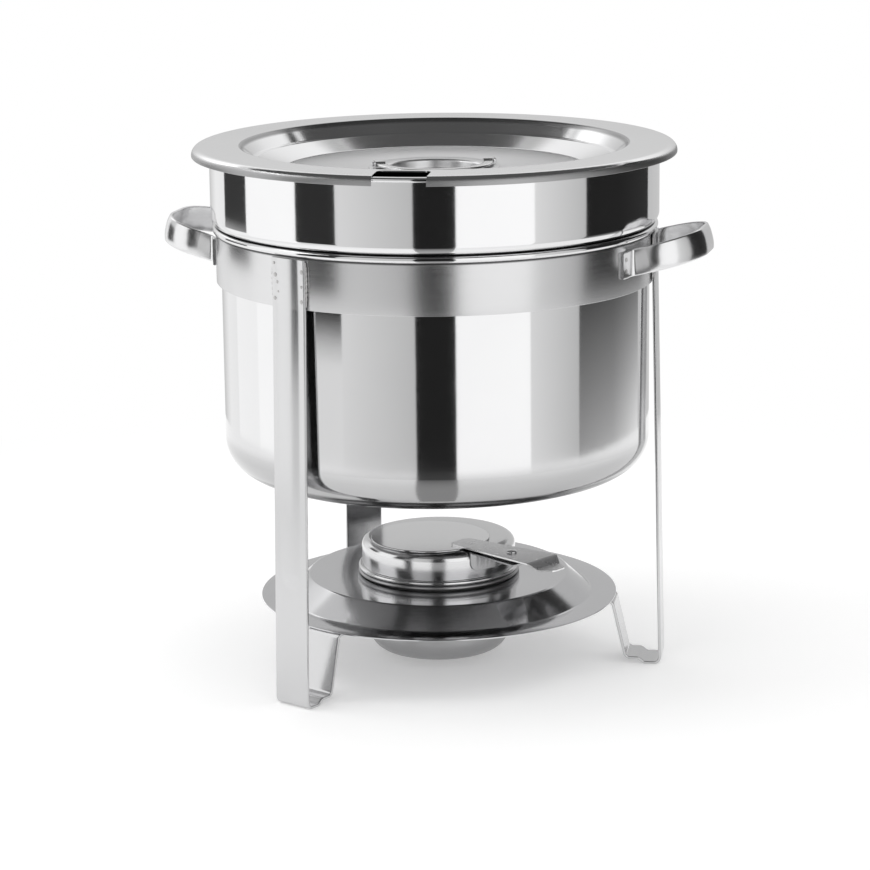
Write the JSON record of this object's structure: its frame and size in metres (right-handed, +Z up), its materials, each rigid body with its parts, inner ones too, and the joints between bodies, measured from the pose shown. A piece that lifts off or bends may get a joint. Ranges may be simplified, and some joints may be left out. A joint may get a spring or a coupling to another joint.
{
  "type": "soup station",
  "caption": "Round stainless soup station: a covered soup insert in a water pan, hung in a hooped stand on strap legs, over a fuel burner with a swinging snuffer.",
  "frame": {"origin": "on the floor, on the common axis of the pans and the burner", "axes": "+Z up, +X along the line through the side handles towards the handle that stands above a leg, +Y to the back, away from the lid's ladle notch"},
  "size_m": [0.372, 0.32, 0.3502],
  "materials": {
    "stand_steel": "satin stainless",
    "plate_steel": "polished stainless",
    "pan_steel": "mirror polished stainless",
    "lid_steel": "polished stainless",
    "burner_steel": "polished stainless",
    "rivet_steel": "plain steel"
  },
  "bodies": {
    "stand": {"stand_hoop": "stand_steel", "leg_right": "stand_steel", "leg_rear": "stand_steel", "leg_front": "stand_steel", "handle_right": "stand_steel", "handle_left": "stand_steel", "burner_plate": "plate_steel"},
    "water_pan": {"water_pan": "pan_steel"},
    "insert": {"insert_bowl": "pan_steel", "insert_shoulder": "pan_steel", "insert_collar": "pan_steel"},
    "lid": {"lid": "lid_steel", "lid_dish": "lid_steel", "bail_ears": "lid_steel", "bail_pins": "rivet_steel"},
    "bail": {"lid_bail": "lid_steel"},
    "burner": {"burner_cup": "burner_steel"},
    "burner_cover": {"burner_cover": "burner_steel", "snuffer_bracket": "burner_steel", "snuffer_rivet": "rivet_steel", "snuffer_washer": "rivet_steel"},
    "snuffer": {"snuffer_arm": "burner_steel", "snuffer_disc": "burner_steel"}
  },
  "joints": [
    {"name": "water_pan_lift", "type": "slide", "parent": "stand", "child": "water_pan", "axis": [0, 0, 1], "range_m": [0, 0.18]},
    {"name": "insert_lift", "type": "slide", "parent": "water_pan", "child": "insert", "axis": [0, 0, 1], "range_m": [0, 0.16]},
    {"name": "lid_lift", "type": "slide", "parent": "insert", "child": "lid", "axis": [0, 0, 1], "range_m": [0, 0.1]},
    {"name": "bail_fold", "type": "hinge", "parent": "lid", "child": "bail", "pos_m": [0, 0, 0.33662], "axis": [-0.9205, -0.3907, 0], "range_deg": [0, 180]},
    {"name": "burner_lift", "type": "slide", "parent": "stand", "child": "burner", "axis": [0, 0, 1], "range_m": [0, 0.025]},
    {"name": "cover_lift", "type": "slide", "parent": "burner", "child": "burner_cover", "axis": [0, 0, 1], "range_m": [0, 0.015]},
    {"name": "snuffer_swing", "type": "hinge", "parent": "burner_cover", "child": "snuffer", "pos_m": [0.06144, -0.04302, 0.0846], "axis": [0, 0, 1], "range_deg": [0, 90]}
  ]
}
